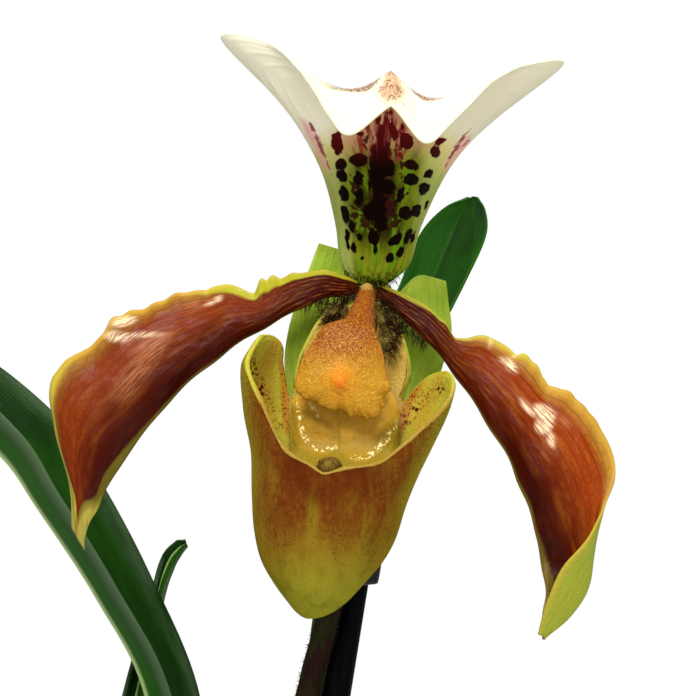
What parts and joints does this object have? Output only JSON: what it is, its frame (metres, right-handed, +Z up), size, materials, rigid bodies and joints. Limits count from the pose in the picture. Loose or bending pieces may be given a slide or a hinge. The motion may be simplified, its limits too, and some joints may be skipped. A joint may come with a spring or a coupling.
{
  "type": "potted slipper orchid",
  "caption": "Slipper orchid with one open flower on a hairy scape tied to a stake, strap leaves, bark and a plain tapered pot.",
  "frame": {"origin": "centre of the pot's flat base, on the surface that the pot stands on", "axes": "+Z up along the pot's axis, the flower faces -Y, +X to the right as seen from the flower's front"},
  "size_m": [0.2333, 0.1108, 0.2614],
  "materials": {
    "sepal": "satin",
    "petal": "gloss",
    "lip": "gloss",
    "column": "satin",
    "ovary": "matte",
    "bract": "satin",
    "scape": "matte",
    "leaf": "satin",
    "root": "matte",
    "stake": "satin",
    "clip": "satin",
    "bark": "matte",
    "pot": "satin"
  },
  "bodies": {
    "root": {"dorsal_sepal": "sepal", "synsepal": "sepal", "petal_left": "petal", "petal_right": "petal", "lip": "lip", "column": "column", "ovary": "ovary", "bract": "bract", "scape": "scape", "leaf_left_high": "leaf", "leaf_right_high": "leaf", "leaf_left_middle": "leaf", "leaf_right_middle": "leaf", "leaf_left_low": "leaf", "leaf_right_low": "leaf", "young_leaf_tall": "leaf", "young_leaf_left": "leaf", "crown_and_roots": "root", "stake": "stake", "stake_clip": "clip", "bark": "bark", "pot": "pot"}
  },
  "joints": []
}
